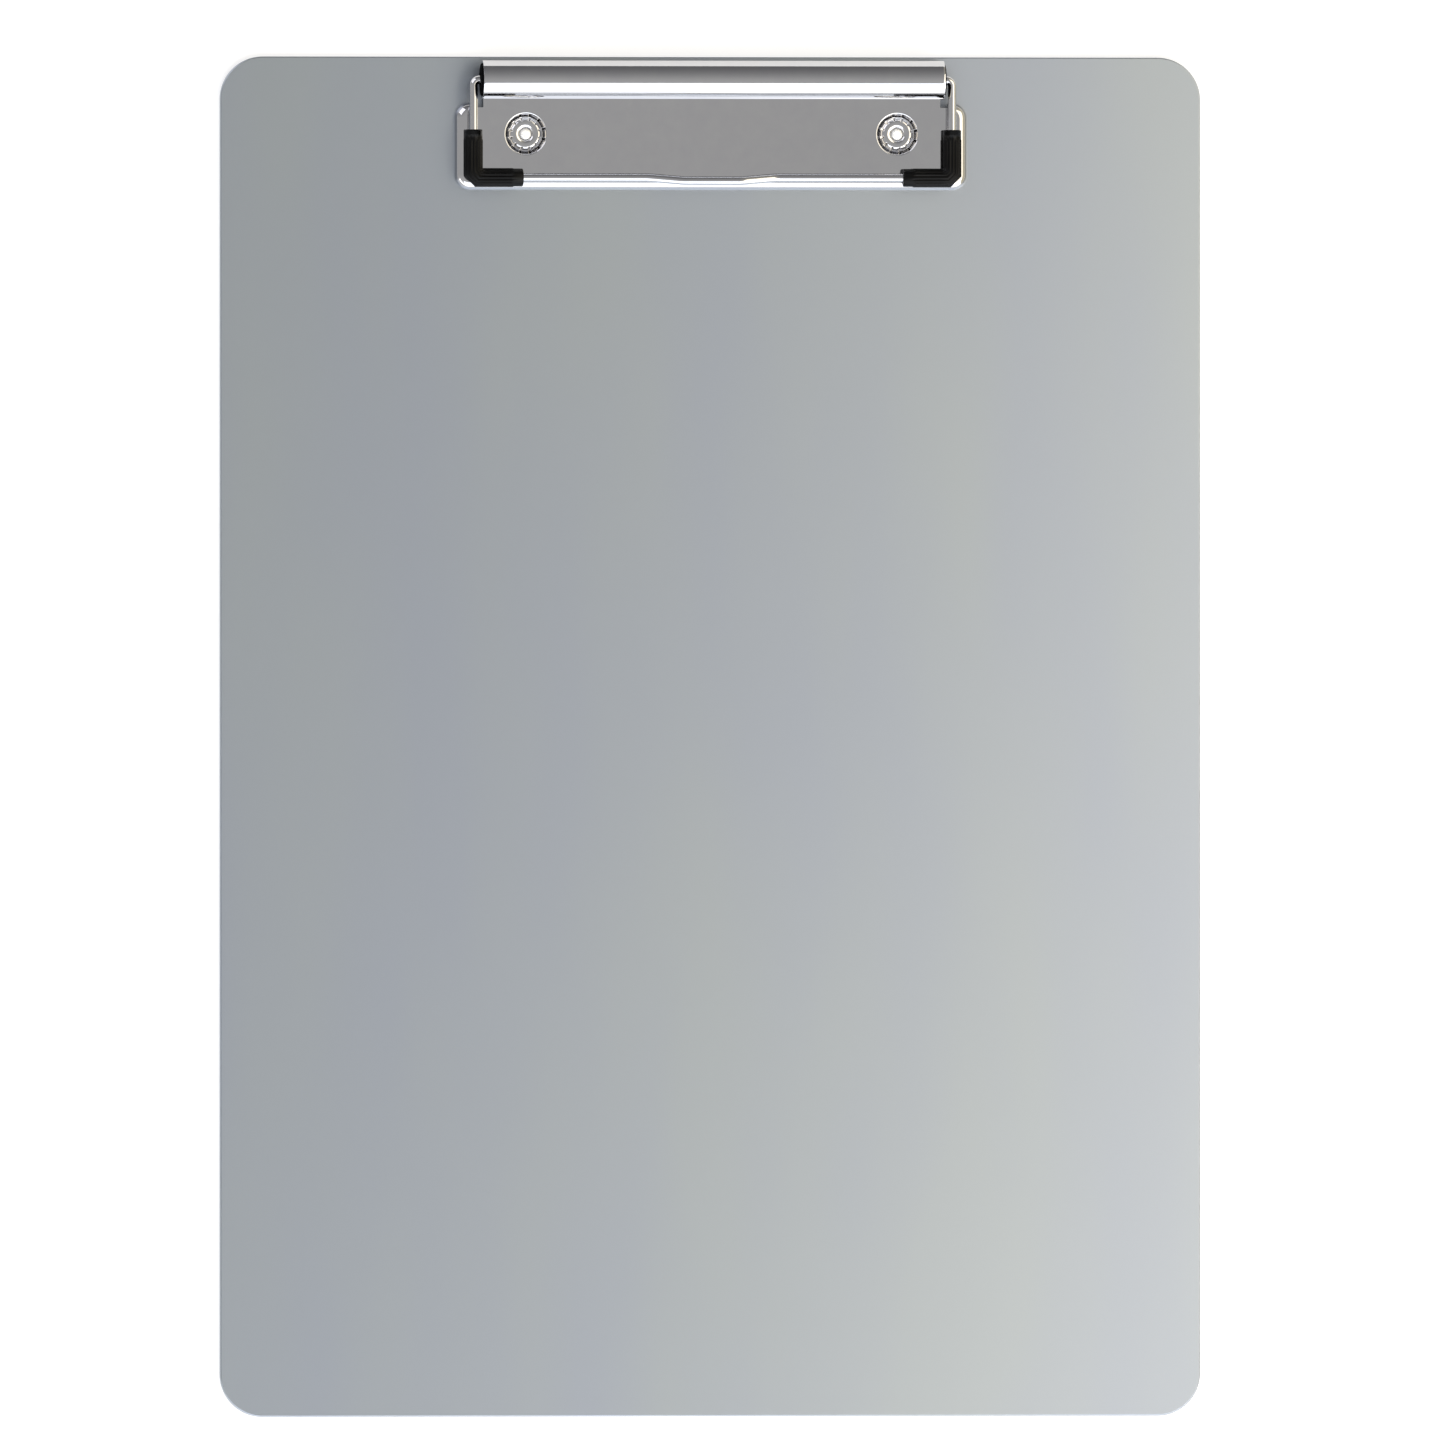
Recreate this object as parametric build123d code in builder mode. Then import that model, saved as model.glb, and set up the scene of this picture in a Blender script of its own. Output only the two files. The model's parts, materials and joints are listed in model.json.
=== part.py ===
"""Flat clipboard with a low-profile wire clip.

A satin aluminium board carries a pressed, chromed clip base.  The rear of the
base is rolled into a barrel, and two star-set tubular rivets hold the base to
the board.  A sprung wire bail turns in two bushes in the barrel's mouths, and
rubber sleeves on its corners press the sheets against the base.

Frame: millimetres.  The origin is the middle of the board's back face, +X is to
the right, +Y towards the clip end and +Z up through the board.
"""

import os
from math import asin, cos, degrees, pi, radians, sin, sqrt

from build123d import *

# Board
board_width = 230.0
board_length = 317.0
board_thickness = 2.0
board_corner_radius = 10.0
board_edge_break = 0.3

# Clip base: one pressed sheet
sheet = 0.6
base_half_width = 60.1
base_front_y = 127.5
base_rear_y = 147.75
base_corner_radius = 3.5
base_rise = 2.2
rim_radius = 2.0

# Barrel rolled from the rear of the base
barrel_radius = 4.5
barrel_half_length = 54.1
barrel_y = 153.1
barrel_blend = 0.4
barrel_free_end_deg = 245.0
notch_outer_x = 56.0
notch_inner_x = 53.6
notch_front_y = 146.7

# Rivets
rivet_x = 43.6
rivet_y = 140.5
dimple_radius = 4.675
dimple_floor_radius = 4.3
rivet_shank_radius = 2.1
rivet_bore_radius = 1.45
rivet_hole_radius = 2.15
rivet_head_radius = 3.9
rivet_head_height = 0.65
counterbore_radius = 4.0
counterbore_depth = 0.7
petal_tip_radius = 3.8
petal_root_radius = 2.7
petal_count = 12
petal_thickness = 0.35
petal_slit = 0.42
crest_height = 0.85

# Wire bail
wire_radius = 1.0
leg_x = 56.15
bail_reach = 22.8
pivot_bend_radius = 1.4
corner_bend_radius = 2.4
bump_half_length = 14.9
bump_flat_half = 6.75
bump_forward = 0.7
bump_up = 1.2
bump_bend_radius = 9.0
journal_end_x = 26.0
tip_crank = 3.0
tip_bend_radius = 1.5

# Rubber sleeves on the bail's corners
grip_radius = 2.2
grip_leg_length = 11.2
grip_run_length = 11.6

# Bushes in the barrel's mouths
bush_clearance = 0.05
bush_length = 6.0
bush_proud = 0.35

# Derived places
board_top_z = board_thickness
base_top_z = board_top_z + base_rise
base_under_z = base_top_z - sheet
barrel_z = board_top_z + barrel_radius
barrel_bore_radius = barrel_radius - sheet
run_y = barrel_y - bail_reach
dimple_floor_z = board_top_z + sheet
rivet_places = [(-rivet_x, rivet_y), (rivet_x, rivet_y)]


def on_barrel(radius, angle_deg):
    """A point on a circle about the barrel's axis, as (Y, Z)."""
    angle = radians(angle_deg)
    return (barrel_y + radius * cos(angle), barrel_z + radius * sin(angle))


# ---------------------------------------------------------------- board
with BuildPart() as board:
    with BuildSketch():
        RectangleRounded(board_width, board_length, board_corner_radius)
    extrude(amount=board_thickness)
    rim_edges = board.edges().group_by(Axis.Z)[0] + board.edges().group_by(Axis.Z)[-1]
    fillet(rim_edges, board_edge_break)
    # The back is counterbored, so that the rivets' heads sit just under its face.
    with BuildSketch(Plane.XY):
        with Locations(*rivet_places):
            Circle(counterbore_radius)
    extrude(amount=counterbore_depth, mode=Mode.SUBTRACT)
    with BuildSketch(Plane.XY):
        with Locations(*rivet_places):
            Circle(rivet_hole_radius)
    extrude(amount=board_thickness, mode=Mode.SUBTRACT)

# ---------------------------------------------------------------- clip base
# The tangent point where the concave blend meets the barrel's outer skin.
blend_centre_z = base_top_z + barrel_blend
blend_drop = barrel_z - blend_centre_z
blend_angle = degrees(asin(blend_drop / (barrel_radius + barrel_blend)))
blend_centre_y = barrel_y - sqrt((barrel_radius + barrel_blend) ** 2 - blend_drop**2)
barrel_start_deg = 180.0 + blend_angle
blend_turn = 90.0 - blend_angle


def on_blend(radius, angle_deg):
    """A point on a circle about the blend's centre, as (Y, Z)."""
    angle = radians(angle_deg)
    return (blend_centre_y + radius * cos(angle), blend_centre_z + radius * sin(angle))


outer_start = on_barrel(barrel_radius, barrel_start_deg)
inner_start = on_barrel(barrel_bore_radius, barrel_start_deg)
outer_end = on_barrel(barrel_radius, barrel_free_end_deg)
inner_end = on_barrel(barrel_bore_radius, barrel_free_end_deg)
over_deg = (barrel_start_deg + barrel_free_end_deg - 360.0) / 2
mid_blend_deg = 270.0 + blend_turn / 2
upper_rear = (blend_centre_y, base_top_z)
lower_rear = (blend_centre_y, base_under_z)
upper_front = (notch_front_y, base_top_z)
lower_front = (notch_front_y, base_under_z)
base_depth = base_rear_y - base_front_y
base_mid_y = (base_rear_y + base_front_y) / 2
tongue_front_y = base_rear_y - rim_radius - sheet

with BuildPart() as clip_base:
    # The pressed tray: a shallow rounded dish upside down, hollow below.
    with BuildSketch(Plane.XY.offset(board_top_z)):
        with Locations((0, base_mid_y)):
            RectangleRounded(2 * base_half_width, base_depth, base_corner_radius)
    extrude(amount=base_rise)
    fillet(clip_base.edges().group_by(Axis.Z)[-1], rim_radius)
    with BuildPart(mode=Mode.PRIVATE) as tray_hollow:
        with BuildSketch(Plane.XY.offset(board_top_z)):
            with Locations((0, base_mid_y)):
                RectangleRounded(
                    2 * (base_half_width - sheet),
                    base_depth - 2 * sheet,
                    base_corner_radius - sheet,
                )
        extrude(amount=base_rise - sheet)
        fillet(tray_hollow.edges().group_by(Axis.Z)[-1], rim_radius - sheet)
    add(tray_hollow.part, mode=Mode.SUBTRACT)
    # Behind the plate the rim gives way to a flat tongue between the two wings.
    opening_depth = base_rear_y - tongue_front_y
    with BuildSketch(Plane.XY.offset(board_top_z)):
        with Locations((0, tongue_front_y)):
            Rectangle(2 * notch_outer_x, opening_depth, align=(Align.CENTER, Align.MIN))
    extrude(amount=base_rise, mode=Mode.SUBTRACT)
    with BuildSketch(Plane.XY.offset(base_under_z)):
        with Locations((0, tongue_front_y)):
            Rectangle(
                2 * notch_outer_x,
                notch_front_y - tongue_front_y,
                align=(Align.CENTER, Align.MIN),
            )
    extrude(amount=sheet)
    # The rolled strip, in full thickness, with relief notches beside its ends.
    with BuildSketch(Plane.YZ.offset(-barrel_half_length)):
        with BuildLine():
            Line(upper_front, upper_rear)
            ThreePointArc(upper_rear, on_blend(barrel_blend, mid_blend_deg), outer_start)
            ThreePointArc(outer_start, on_barrel(barrel_radius, over_deg), outer_end)
            Line(outer_end, inner_end)
            ThreePointArc(inner_end, on_barrel(barrel_bore_radius, over_deg), inner_start)
            ThreePointArc(inner_start, on_blend(barrel_blend + sheet, mid_blend_deg), lower_rear)
            Line(lower_rear, lower_front)
            Line(lower_front, upper_front)
        make_face()
    extrude(amount=2 * barrel_half_length)
    notch_width = notch_outer_x - notch_inner_x
    notch_depth = barrel_y - barrel_radius + sheet / 2 - notch_front_y
    with BuildSketch(Plane.XY.offset(board_top_z)):
        with Locations(
            (-notch_outer_x, notch_front_y), (notch_inner_x, notch_front_y)
        ):
            Rectangle(notch_width, notch_depth, align=(Align.MIN, Align.MIN))
    extrude(amount=base_rise + barrel_blend, mode=Mode.SUBTRACT)
    # Dished rivet seats, whose floors lie on the board.
    for seat_x, seat_y in rivet_places:
        with BuildSketch(Plane.XY.offset(board_top_z)):
            with Locations((seat_x, seat_y)):
                Circle(dimple_floor_radius + sheet)
        with BuildSketch(Plane.XY.offset(base_top_z)):
            with Locations((seat_x, seat_y)):
                Circle(dimple_radius + sheet)
        loft()
        with BuildSketch(Plane.XY.offset(dimple_floor_z)):
            with Locations((seat_x, seat_y)):
                Circle(dimple_floor_radius)
        with BuildSketch(Plane.XY.offset(base_top_z)):
            with Locations((seat_x, seat_y)):
                Circle(dimple_radius)
        loft(mode=Mode.SUBTRACT)
        with BuildSketch(Plane.XY.offset(board_top_z)):
            with Locations((seat_x, seat_y)):
                Circle(rivet_hole_radius)
        extrude(amount=sheet, mode=Mode.SUBTRACT)


# ---------------------------------------------------------------- rivets
def make_rivet(place):
    """A semi-tubular rivet whose open end is split and rolled out into petals."""
    seat_x, seat_y = place
    axis_plane = Plane(origin=(seat_x, seat_y, 0), x_dir=(1, 0, 0), z_dir=(0, -1, 0))
    head_top_z = counterbore_depth
    head_bottom_z = counterbore_depth - rivet_head_height
    petal_top_z = dimple_floor_z + petal_thickness
    crest_z = dimple_floor_z + crest_height
    crest_radius = (rivet_bore_radius + petal_root_radius) / 2
    slit_length = petal_tip_radius - petal_root_radius + petal_slit
    half_pitch = 180.0 / petal_count
    with BuildPart() as rivet:
        with BuildSketch(axis_plane):
            with BuildLine():
                Polyline(
                    (rivet_bore_radius, petal_top_z),
                    (rivet_bore_radius, head_top_z),
                    (0, head_top_z),
                    (0, head_bottom_z),
                    (rivet_head_radius, head_bottom_z),
                    (rivet_head_radius, head_top_z),
                    (rivet_shank_radius, head_top_z),
                    (rivet_shank_radius, dimple_floor_z),
                    (petal_tip_radius, dimple_floor_z),
                    (petal_tip_radius, petal_top_z),
                    (petal_root_radius, petal_top_z),
                )
                ThreePointArc(
                    (petal_root_radius, petal_top_z),
                    (crest_radius, crest_z),
                    (rivet_bore_radius, petal_top_z),
                )
            make_face()
        revolve(axis=Axis((seat_x, seat_y, 0), (0, 0, 1)))
        with BuildSketch(Plane.XY.offset(dimple_floor_z)):
            with Locations((seat_x, seat_y)):
                with PolarLocations(petal_root_radius, petal_count, start_angle=half_pitch):
                    Rectangle(slit_length, petal_slit, align=(Align.MIN, Align.CENTER))
        extrude(amount=petal_thickness, mode=Mode.SUBTRACT)
    return rivet.part


rivet_left = make_rivet(rivet_places[0])
rivet_right = make_rivet(rivet_places[1])

# ---------------------------------------------------------------- wire bail
# Half of the wire's route, from its cranked tip in the barrel to the thumb bump.
half_route = [
    (journal_end_x, barrel_y, barrel_z - tip_crank),
    (journal_end_x, barrel_y, barrel_z),
    (leg_x, barrel_y, barrel_z),
    (leg_x, run_y, barrel_z),
    (bump_half_length, run_y, barrel_z),
    (bump_flat_half, run_y - bump_forward, barrel_z + bump_up),
]
half_radii = [
    tip_bend_radius,
    pivot_bend_radius,
    corner_bend_radius,
    bump_bend_radius,
    bump_bend_radius,
]
other_half = [(-x, y, z) for x, y, z in reversed(half_route)]
wire_route = half_route + other_half

with BuildPart() as wire_bail:
    with BuildLine() as wire_line:
        FilletPolyline(*wire_route, radius=half_radii + half_radii[::-1])
    with BuildSketch(Plane(origin=wire_route[0], z_dir=(0, 0, 1))):
        Circle(wire_radius)
    sweep(path=wire_line.wire())

wire_length = wire_line.wire().length
volume_ratio = wire_bail.part.volume / (pi * wire_radius**2 * wire_length)
print(f"wire: {wire_length:.1f} mm long, volume over section times length {volume_ratio:.4f}")


# ---------------------------------------------------------------- grips
def make_grip(side):
    """An L-shaped rubber sleeve over one corner of the bail; side is -1 or 1."""
    mouth = (side * leg_x, run_y + grip_leg_length, barrel_z)
    corner = (side * leg_x, run_y, barrel_z)
    run_end = (side * (leg_x - grip_run_length), run_y, barrel_z)
    with BuildPart() as grip:
        with BuildLine() as sleeve_line:
            FilletPolyline(mouth, corner, run_end, radius=corner_bend_radius)
        with BuildSketch(Plane(origin=mouth, z_dir=(0, -1, 0))):
            Circle(grip_radius)
            Circle(wire_radius, mode=Mode.SUBTRACT)
        sweep(path=sleeve_line.wire())
    return grip.part


grip_left = make_grip(-1)
grip_right = make_grip(1)


# ---------------------------------------------------------------- bushes
def make_bush(side):
    """A plain bush pressed into one mouth of the barrel; side is -1 or 1."""
    face_x = side * (barrel_half_length + bush_proud)
    with BuildPart() as bush:
        with BuildSketch(Plane(origin=(face_x, barrel_y, barrel_z), z_dir=(-side, 0, 0))):
            Circle(barrel_bore_radius)
            Circle(wire_radius + bush_clearance, mode=Mode.SUBTRACT)
        extrude(amount=bush_length)
    return bush.part


bush_left = make_bush(-1)
bush_right = make_bush(1)

# ---------------------------------------------------------------- files
pieces = {
    "board": board.part,
    "clip_base": clip_base.part,
    "rivet_left": rivet_left,
    "rivet_right": rivet_right,
    "wire_bail": wire_bail.part,
    "grip_left": grip_left,
    "grip_right": grip_right,
    "bush_left": bush_left,
    "bush_right": bush_right,
}
os.makedirs("parts", exist_ok=True)
for piece_name, piece in pieces.items():
    piece.label = piece_name
    export_step(piece, f"parts/{piece_name}.step")
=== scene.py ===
# %% [markdown]
# # A metal clipboard with a wire clip
#
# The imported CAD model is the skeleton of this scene: it fixes every size, place
# and joint.  This script dresses it.  It reads the sizes it needs from the CAD
# nodes' boxes, bends a fresh wire, presses a fresh clip base, rolls out the
# rivets and moulds the rubber sleeves with mesh operators, gives everything a
# procedural finish, and then lights the board the way a small studio would.

# %% Load the fixed frame
import json
from math import asin, cos, pi, radians, sin, sqrt, tan

import bmesh
import bpy
from mathutils import Matrix, Vector


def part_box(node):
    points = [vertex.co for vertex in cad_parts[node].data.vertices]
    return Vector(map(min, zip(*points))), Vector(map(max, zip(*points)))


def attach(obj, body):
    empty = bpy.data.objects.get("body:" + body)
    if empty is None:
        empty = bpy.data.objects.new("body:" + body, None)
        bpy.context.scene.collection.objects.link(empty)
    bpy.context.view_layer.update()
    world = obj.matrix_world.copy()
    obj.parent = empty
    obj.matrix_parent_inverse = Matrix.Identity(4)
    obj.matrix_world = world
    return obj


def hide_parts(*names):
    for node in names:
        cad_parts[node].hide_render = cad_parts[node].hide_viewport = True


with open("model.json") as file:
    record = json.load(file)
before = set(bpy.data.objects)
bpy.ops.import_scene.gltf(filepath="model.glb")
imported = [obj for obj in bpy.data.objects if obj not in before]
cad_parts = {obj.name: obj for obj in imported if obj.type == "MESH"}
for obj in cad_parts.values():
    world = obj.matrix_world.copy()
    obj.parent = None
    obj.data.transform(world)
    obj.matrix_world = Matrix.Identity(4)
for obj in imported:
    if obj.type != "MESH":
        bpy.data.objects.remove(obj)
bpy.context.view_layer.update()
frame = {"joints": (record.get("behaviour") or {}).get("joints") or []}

MM = 0.001

# %% [markdown]
# Lengths come from the frame.  The board's box gives its top face, the hinge
# gives the wire's axis, and the boxes of the clip's pieces give the rest.  Only
# sizes that a box can't say, such as bend radii, are typed in here, in
# millimetres, as a drawing would give them.

# %% Sizes read from the frame
board_low, board_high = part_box("board")
base_low, base_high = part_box("clip_base")
_, bail_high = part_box("wire_bail")
grip_low, grip_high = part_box("grip_right")
hinge = Vector(frame["joints"][0]["pos_m"])
UP = Vector((0, 0, 1))
board_top = board_high.z
plate_rise = 2.2 * MM
sheet = 0.6 * MM
plate_top = board_top + plate_rise
barrel_radius = base_high.z - hinge.z
barrel_half = 54.1 * MM
wire_radius = 1.0 * MM
leg_x = bail_high.x - wire_radius
grip_radius = (grip_high.z - grip_low.z) / 2
run_y = grip_low.y + grip_radius
print(f"plate top {plate_top / MM:.2f}, barrel radius {barrel_radius / MM:.2f}, leg x {leg_x / MM:.2f}")

# %% [markdown]
# Every finish is a small node tree.  One function adds a node, sets its values
# and makes its links, and another turns the sRGB hex colour that a paint chart
# gives into the linear numbers that the shader works in.

# %% Helpers for materials
def srgb(code):
    """A hex colour such as "8f9296" as linear red, green, blue and alpha."""
    channels = [int(code[i:i + 2], 16) / 255 for i in (0, 2, 4)]
    linear = [c / 12.92 if c <= 0.04045 else ((c + 0.055) / 1.055) ** 2.4 for c in channels]
    return (*linear, 1.0)


def add_node(tree, kind, values=None, links=None, **settings):
    """Add one node: settings are its properties, values its sockets, links its inputs."""
    node = tree.nodes.new(kind)
    for name, value in settings.items():
        setattr(node, name, value)
    for socket, value in (values or {}).items():
        node.inputs[socket].default_value = value
    for socket, source in (links or {}).items():
        tree.links.new(source, node.inputs[socket])
    return node


def new_material(name, **surface):
    """A material with one Principled shader; its constant values are set on the shader itself."""
    material = bpy.data.materials.new(name)
    material.use_nodes = True
    shader = material.node_tree.nodes["Principled BSDF"]
    for socket, value in surface.items():
        shader.inputs[socket.replace("_", " ")].default_value = value
    return material, material.node_tree, shader


print("mid grey 808080 is", round(srgb("808080")[0], 3), "in linear light")

# %% [markdown]
# The pieces are bent, pressed and turned from mesh operators.  A few small tools
# do most of the work, and each is a thing that a workshop does: put a ring of
# metal somewhere, shrink it, feed it forward, bend it about a centre, and turn a
# profile on a lathe.  They are written once here, and the pieces below call them.

# %% Workshop tools
def verts_of(edges):
    """The vertices of these edges, each one once."""
    return list({v for e in edges for v in e.verts})


def edges_between(verts):
    """The edges that join two of these vertices."""
    chosen = set(verts)
    return list({e for v in chosen for e in v.link_edges if e.other_vert(v) in chosen})


def ring(bm, centre, heading, radius, sides, shape=None):
    """A circle of vertices across a heading; shape(angle) may change its radius."""
    turn = heading.to_track_quat("Z", "Y").to_matrix().to_4x4()
    place = Matrix.Translation(centre) @ turn
    verts = bmesh.ops.create_circle(bm, radius=radius, segments=sides, matrix=place)["verts"]
    if shape:
        for index, vert in enumerate(verts):
            angle = 2 * pi * index / sides
            vert.co = centre + (vert.co - centre) * (shape(angle) / radius)
    return edges_between(verts)


def shrink_level_ring(bm, edges, centre, factor):
    """Scale a level ring of edges towards the upright line through a centre."""
    bmesh.ops.scale(bm, verts=verts_of(edges), vec=(factor, factor, 1),
                    space=Matrix.Translation(-centre))


def feed(bm, edges, travel):
    """Extrude an open run or ring of edges by a straight travel and return its far end."""
    made = bmesh.ops.extrude_edge_only(bm, edges=edges)["geom"]
    verts = [g for g in made if isinstance(g, bmesh.types.BMVert)]
    bmesh.ops.translate(bm, verts=verts, vec=travel)
    return edges_between(verts)


def bend(bm, edges, centre, axis, angle, steps):
    """Spin an open run or ring of edges about a centre and return its far end."""
    made = bmesh.ops.spin(bm, geom=edges, cent=centre, axis=axis, angle=angle, steps=steps)
    return [g for g in made["geom_last"] if isinstance(g, bmesh.types.BMEdge)]


def lathe(bm, profile, centre, axis, across, steps):
    """Turn a profile of (radius, height) points a full turn about an axis."""
    verts = [bm.verts.new(centre + across * r + axis * h) for r, h in profile]
    edges = [bm.edges.new(pair) for pair in zip(verts, verts[1:])]
    bmesh.ops.spin(bm, geom=verts + edges, cent=centre, axis=axis, angle=2 * pi,
                   steps=steps, use_merge=True)


print("workshop tools: ring, shrink, feed, bend and lathe")

# %% [markdown]
# Every piece leaves the workshop by the same door.  Doubled vertices are merged,
# the faces are turned outwards, and the mesh becomes one named object that rides
# on its body and stands in for its CAD node.  A shape with long flat faces may
# keep its level faces flat-shaded, because smooth shading would drag the edge's
# highlights across them.  Cut or turned metal gets weighted normals instead, and
# pressed sheet also gets its wall and a broken edge from modifiers.

# %% Finishing tools
MERGE_DISTANCE = 0.001 * MM
LEVEL = 0.9999


def finish_piece(name, bm, body, replaced, materials, level_faces_smooth=True):
    """Merge doubles, face everything outwards, and hand the mesh over as one named piece."""
    bmesh.ops.remove_doubles(bm, verts=bm.verts, dist=MERGE_DISTANCE)
    bmesh.ops.recalc_face_normals(bm, faces=bm.faces)
    for face in bm.faces:
        face.smooth = level_faces_smooth or abs(face.normal.z) < LEVEL
    mesh = bpy.data.meshes.new(name)
    bm.to_mesh(mesh)
    bm.free()
    piece = bpy.data.objects.new(name, mesh)
    bpy.context.scene.collection.objects.link(piece)
    for material in materials:
        mesh.materials.append(material)
    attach(piece, body)
    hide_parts(*replaced)
    print(f"{name}: {len(mesh.vertices)} vertices, {len(mesh.polygons)} faces")
    return piece


def wall_and_broken_edge(piece, thickness, edge_break):
    """Give a pressed skin its wall, inwards, and take the sharpness off its edges."""
    wall = piece.modifiers.new("wall", "SOLIDIFY")
    wall.thickness = thickness
    wall.offset = -1
    wall.use_even_offset = True
    broken = piece.modifiers.new("broken edge", "BEVEL")
    broken.width = edge_break
    broken.segments = 2
    broken.limit_method = "ANGLE"
    broken.angle_limit = radians(50)


def crisp_normals(piece):
    """Shade broad faces as flat and only their narrow edges as round."""
    shading = piece.modifiers.new("flat faces stay flat", "WEIGHTED_NORMAL")
    shading.weight = 90


print(f"vertices closer than {MERGE_DISTANCE / MM:.3f} mm are merged")

# %% [markdown]
# ## Anodised aluminium
# The board is rolled aluminium sheet that was etched and anodised.  The etch
# leaves a fine satin tooth, and the clear oxide softens the metal's shine, so it
# reads as a soft grey that takes its light and dark from the whole room.  The
# tooth is finer than a tenth of a millimetre; it is drawn at 0.35 mm so that it
# can show at all, and very faintly.  Uneven etching leaves a slow cloudiness
# between two greys, one a little bluer than the other.  Its clouds are about
# 45 mm across and four times as long, and lie at a slant.

# %% Finish: satin anodised aluminium
def anodised_aluminium():
    """Satin metal: a fine tooth moves its gloss, and slow clouds move its tone."""
    material, tree, shader = new_material("satin anodised aluminium", Metallic=1.0)
    place = add_node(tree, "ShaderNodeTexCoord").outputs["Object"]
    tooth = add_node(tree, "ShaderNodeTexNoise", {"Scale": 1 / (0.35 * MM), "Detail": 3.0},
                     {"Vector": place})
    rolled = add_node(tree, "ShaderNodeMapping", {"Rotation": (0, 0, radians(20)),
                                                  "Scale": (1.0, 0.25, 1.0)}, {"Vector": place})
    cloud = add_node(tree, "ShaderNodeTexNoise", {"Scale": 1 / (45 * MM), "Detail": 2.0},
                     {"Vector": rolled.outputs["Vector"]})
    tone = add_node(tree, "ShaderNodeValToRGB", links={"Fac": cloud.outputs["Fac"]})
    tone.color_ramp.elements[0].position = 0.35
    tone.color_ramp.elements[0].color = srgb("9da3ad")
    tone.color_ramp.elements[1].position = 0.65
    tone.color_ramp.elements[1].color = srgb("a0a6ab")
    rough = add_node(tree, "ShaderNodeMapRange", {"To Min": 0.34, "To Max": 0.44},
                     {"Value": tooth.outputs["Fac"]})
    bump = add_node(tree, "ShaderNodeBump", {"Strength": 0.05, "Distance": 0.02 * MM},
                    {"Height": tooth.outputs["Fac"]})
    tree.links.new(tone.outputs["Color"], shader.inputs["Base Color"])
    tree.links.new(rough.outputs["Result"], shader.inputs["Roughness"])
    tree.links.new(bump.outputs["Normal"], shader.inputs["Normal"])
    return material


board_finish = anodised_aluminium()
print("finish:", board_finish.name)

# %% [markdown]
# ## Bright chrome
# The clip's base, the wire and the rivets are steel, polished, nickel plated and
# flashed with chromium.  Plating follows the steel beneath, so a pressed sheet
# keeps a very long soft waviness, a drawn wire keeps a fine ripple that is
# longest along its legs, and the rivet's rolled metal is a touch duller.  The floor
# of the rivet's bore is painted light: a pale tone that stands in for the bright
# table seen through the hollow rivet.  The faces in its splits are painted shade:
# a near-black tone that stands in for the shade down in each split.  One function
# makes all five; only the polish, the wave and the tones differ.

# %% Finish: bright chromium plate, a painted-light bore floor and painted-shade splits
def chromium_plate(name, polish, wave_mm, wave_depth_mm, stretch=(1.0, 1.0, 1.0),
                   tones=("c4c3c6", "cbcbcb")):
    """Metal over steel: polish is the roughness and wave_mm the size of its unevenness."""
    material, tree, shader = new_material(name, Metallic=1.0)
    place = add_node(tree, "ShaderNodeTexCoord").outputs["Object"]
    along = add_node(tree, "ShaderNodeMapping", {"Scale": stretch}, {"Vector": place})
    wave = add_node(tree, "ShaderNodeTexNoise", {"Scale": 1 / (wave_mm * MM), "Detail": 1.0},
                    {"Vector": along.outputs["Vector"]})
    haze = add_node(tree, "ShaderNodeTexNoise", {"Scale": 1 / (3 * MM), "Detail": 4.0},
                    {"Vector": place})
    rough = add_node(tree, "ShaderNodeMapRange",
                     {"From Min": 0.35, "From Max": 0.75, "To Min": polish, "To Max": polish + 0.04},
                     {"Value": haze.outputs["Fac"]})
    tone = add_node(tree, "ShaderNodeValToRGB", links={"Fac": haze.outputs["Fac"]})
    tone.color_ramp.elements[0].color = srgb(tones[0])
    tone.color_ramp.elements[1].color = srgb(tones[1])
    bump = add_node(tree, "ShaderNodeBump", {"Strength": 1.0, "Distance": wave_depth_mm * MM},
                    {"Height": wave.outputs["Fac"]})
    tree.links.new(tone.outputs["Color"], shader.inputs["Base Color"])
    tree.links.new(rough.outputs["Result"], shader.inputs["Roughness"])
    tree.links.new(bump.outputs["Normal"], shader.inputs["Normal"])
    return material


pressed_chrome = chromium_plate("chromium plated pressed steel", 0.035, 9, 0.012)
wire_chrome = chromium_plate("chromium plated drawn wire", 0.04, 2, 0.004, (1.0, 0.2, 1.0))
rivet_chrome = chromium_plate("chromium plated rolled rivet", 0.05, 2.5, 0.006)
# The pale tone is painted light: it stands in for the bright table seen through the hollow rivet.
painted_light_bore_floor = chromium_plate("painted light on the rivet bore floor", 0.6, 1.5, 0.01, tones=("ececec", "f4f4f2"))
# The near-black tone is painted shade: it stands in for the shade down in the rivet's splits.
painted_shade_splits = chromium_plate("painted shade in the rivet splits", 0.5, 1.5, 0.01,
                             tones=("1c1a18", "2a2826"))
for finish in (pressed_chrome, wire_chrome, rivet_chrome, painted_light_bore_floor, painted_shade_splits):
    print("finish:", finish.name)

# %% [markdown]
# ## Black rubber and black nylon
# The sleeves are moulded rubber, dense black with a soft sheen along every rib.
# The bushes are moulded nylon, quite matt, so that the barrel's mouths stay black
# even where they are seen at a slant.  Both have the fine spark-eroded grain of
# their mould, at 0.15 mm, and a bloom of slightly paler patches 4 mm across.

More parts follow.
